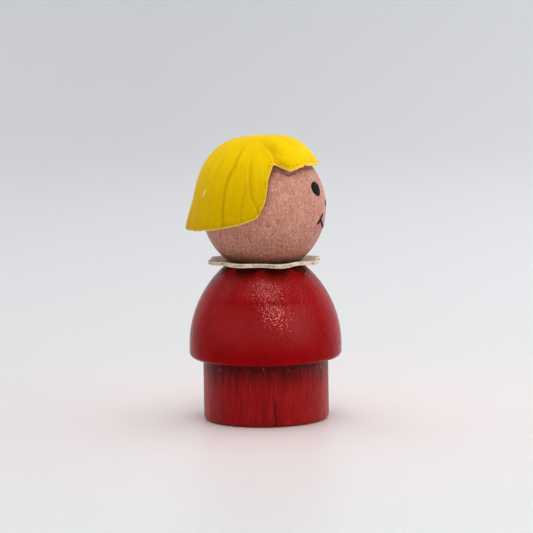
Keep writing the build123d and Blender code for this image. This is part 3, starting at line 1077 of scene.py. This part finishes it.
def build_hair():
    """The moulded bob, one closed grid from the crown over the edge and up inside to the stem's end."""
    edge = edge_directions()
    outside, paint = hair_outside(edge)
    inside = hair_inside(edge)
    grid = np.concatenate([outside, hair_rim(outside, inside), inside, hair_stem(azimuth_of(edge))])
    flat = grid.reshape(-1, 3)
    paint["flow"] = np.stack([azimuth_of(flat) * 0.22, flat[:, 2] * 0.06, np.zeros(len(flat))], axis=1)
    grid += (0, 0, HEAD_CENTRE_Z)
    points, faces = closed_grid(grid, (0, 0, HEAD_CENTRE_Z + cap_reach(0, 90)), (0, 0, grid[-1, 0, 2]))
    make_piece("hair", points, faces, "head", yellow_vinyl(), paint, ["hair_cap"])


# ------ stage, light and camera

FLOOR_FLAT = 560.0
FLOOR_BEND = 380.0
FLOOR_WALL = 900.0
FLOOR_SINK = 0.02
FLOOR_COLUMNS = 128


def build_stage():
    """A round seamless backdrop: a floor that bends up into a wall, with painted red bounce light near the
    figure and painted light brighter towards -Y.
    """
    s = Surface("seamless_paper", 255, 255, 255)
    where = s.add("ShaderNodeSeparateXYZ", {0: s.mm}).outputs
    squares = s.math("ADD", s.math("POWER", where["X"], 2.0), s.math("POWER", where["Y"], 2.0))
    level = s.math("SQRT", squares)
    near = s.mix(s.span(level, 60.0, 850.0), (0.825, 0.82, 0.815, 1), (0.82, 0.83, 0.855, 1))
    # painted red bounce light on the paper near the figure
    near = s.mix(s.span(level, 95.0, 8.0), near, (0.93, 0.82, 0.80, 1))
    # painted light: the paper brighter towards -Y and darker towards +Y
    s.base = s.vector("MULTIPLY", near, s.span(where["Y"], 110.0, -110.0, 0.935, 1.065))
    paper = s.finish(roughness=0.42, specular=0.5, normal=s.bump(s.noise(0.6, 3), 0.004))
    outline = join(
        legs((1.0, 0), ((60, 0), 6.0), ((FLOOR_FLAT, 0), 60.0)),
        arc((FLOOR_FLAT, FLOOR_BEND), FLOOR_BEND, -90, 0, 60.0),
        line((FLOOR_FLAT + FLOOR_BEND, FLOOR_BEND), (FLOOR_FLAT + FLOOR_BEND, FLOOR_WALL), 200.0),
    )
    grid = ring_point(all_round(FLOOR_COLUMNS), outline[:, :1], outline[:, 1:] - FLOOR_SINK)
    points = np.concatenate([grid.reshape(-1, 3), [(0, 0, -FLOOR_SINK)]])
    faces = grid_faces(*grid.shape[:2])
    faces += [[len(points) - 1, (c + 1) % FLOOR_COLUMNS, c] for c in range(FLOOR_COLUMNS)]
    make_piece("backdrop", points, faces, None, paper)


def aim(location, target, roll=0.0):
    """Matrix of a camera or light at a place, looking at a target, both in metres."""
    location, target = Vector(location), Vector(target)
    turn = (target - location).to_track_quat("-Z", "Y").to_matrix().to_4x4()
    return Matrix.Translation(location) @ turn @ Matrix.Rotation(roll, 4, "Z")


def add_softbox(name, angle_right, distance, z, size, power, sheen_only):
    """A soft rectangular light that the camera doesn't see, aimed at the figure."""
    light = bpy.data.lights.new(name, "AREA")
    light.shape = "RECTANGLE"
    light.size, light.size_y = size
    light.energy = power
    lamp = bpy.data.objects.new(name, light)
    lamp.matrix_world = aim(towards_camera(angle_right, distance, z), (0, 0, 0.02))
    lamp.visible_diffuse = not sheen_only
    lamp.visible_camera = False
    bpy.context.scene.collection.objects.link(lamp)


# Softboxes as arguments of add_softbox(): name, place in degrees and metres, size, power, sheen only
SOFTBOXES = [
    ("ceiling", 0, -0.05, 0.75, (0.7, 0.7), 2.6, False),
    ("strip", 4, 0.30, 0.60, (0.18, 0.25), 0.7, False),
    ("right_wall", 125, 0.62, 0.30, (0.8, 0.6), 1.05, False),
    ("right_fill", 70, 0.66, 0.26, (0.8, 0.5), 1.2, False),
    ("left_wall", -130, 0.62, 0.30, (0.8, 0.6), 0.72, False),
    ("small_window", 19, 0.60, 0.505, (0.14, 0.14), 1.4, True),
]

CAMERA_AZIMUTH = 275.0
CAMERA_REACH = 0.533
CAMERA_HEIGHT = 0.092
CAMERA_AIM_Z = 0.027
CAMERA_AIM_SIDE = 0.00036
CAMERA_ROLL = 0.8
CAMERA_VIEW = 10.02


def towards_camera(angle_right, distance, z):
    """A point at a distance from the axis, this many degrees to the right of the camera."""
    a = math.radians(CAMERA_AZIMUTH + angle_right)
    return (math.sin(a) * distance, -math.cos(a) * distance, z)


def build_light():
    """A pale world and the softboxes."""
    world = bpy.data.worlds.new("studio")
    world.use_nodes = True
    ground = world.node_tree.nodes["Background"]
    ground.inputs["Color"].default_value = (0.95, 0.97, 1.0, 1)
    ground.inputs["Strength"].default_value = 0.29
    bpy.context.scene.world = world
    for softbox in SOFTBOXES:
        add_softbox(*softbox)


def build_camera():
    """A long lens from the figure's right, a little above it."""
    camera = bpy.data.objects.new("camera", bpy.data.cameras.new("camera"))
    camera.data.sensor_width = 36.0
    camera.data.lens = 18.0 / math.tan(math.radians(CAMERA_VIEW) / 2)
    camera.data.clip_start, camera.data.clip_end = 0.01, 20
    location = Vector(towards_camera(0, CAMERA_REACH, CAMERA_HEIGHT))
    aside = Vector((-location.y, location.x, 0)).normalized() * CAMERA_AIM_SIDE
    target = aside + Vector((0, 0, CAMERA_AIM_Z))
    camera.matrix_world = aim(location + aside, target, math.radians(-CAMERA_ROLL))
    bpy.context.scene.collection.objects.link(camera)
    bpy.context.scene.camera = camera


bpy.context.scene.view_settings.view_transform = "Standard"
build_camera()
build_light()
build_stage()
build_body()
build_head()
build_face()
build_collar()
build_hair()
nail = frame["nodes"]["neck_nail"]
nail.data.materials.clear()
nail.data.materials.append(bright_steel())
